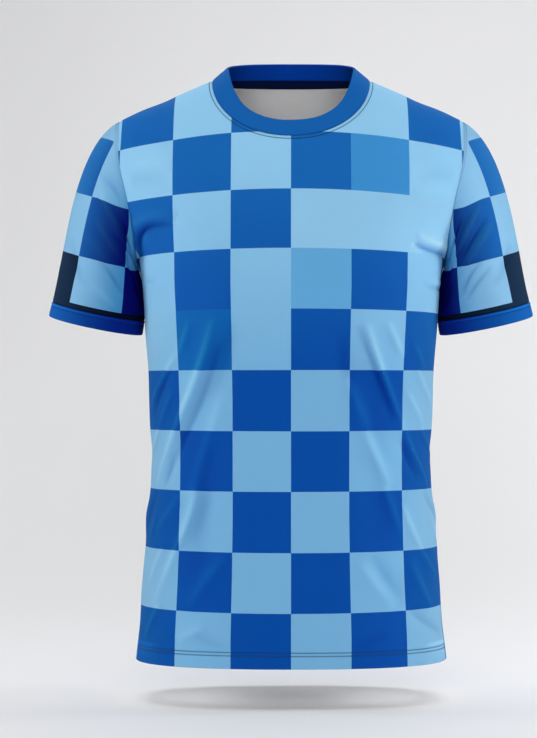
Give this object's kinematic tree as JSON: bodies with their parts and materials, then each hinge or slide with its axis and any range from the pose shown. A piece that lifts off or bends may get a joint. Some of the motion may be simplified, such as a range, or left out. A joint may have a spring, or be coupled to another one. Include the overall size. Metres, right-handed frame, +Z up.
{
  "type": "volleyball jersey",
  "caption": "Short-sleeved round-necked sports jersey in checked light cloth, filled out as if worn, with open neck, sleeves and hem.",
  "frame": {"origin": "midway between the two points where the shoulder seams meet the neck, where a wearer's shoulders hold the jersey up", "axes": "+Z up from hem to neck, +Y from the front of the jersey to its back, +X across it to the viewer's right when seen from the front"},
  "size_m": [0.5848, 0.24, 0.7205],
  "materials": {
    "printed_jersey": "light polyester knit, light blue with royal, mid-blue and navy checks, soft satin",
    "blue_band": "royal blue folded knit band, matt",
    "navy_tape": "navy woven tape, matt"
  },
  "bodies": {
    "root": {"front_panel": "printed_jersey", "back_panel": "printed_jersey", "left_sleeve": "printed_jersey", "right_sleeve": "printed_jersey", "left_cuff": "blue_band", "right_cuff": "blue_band", "collar_band": "blue_band", "neck_tape": "navy_tape"}
  },
  "joints": []
}
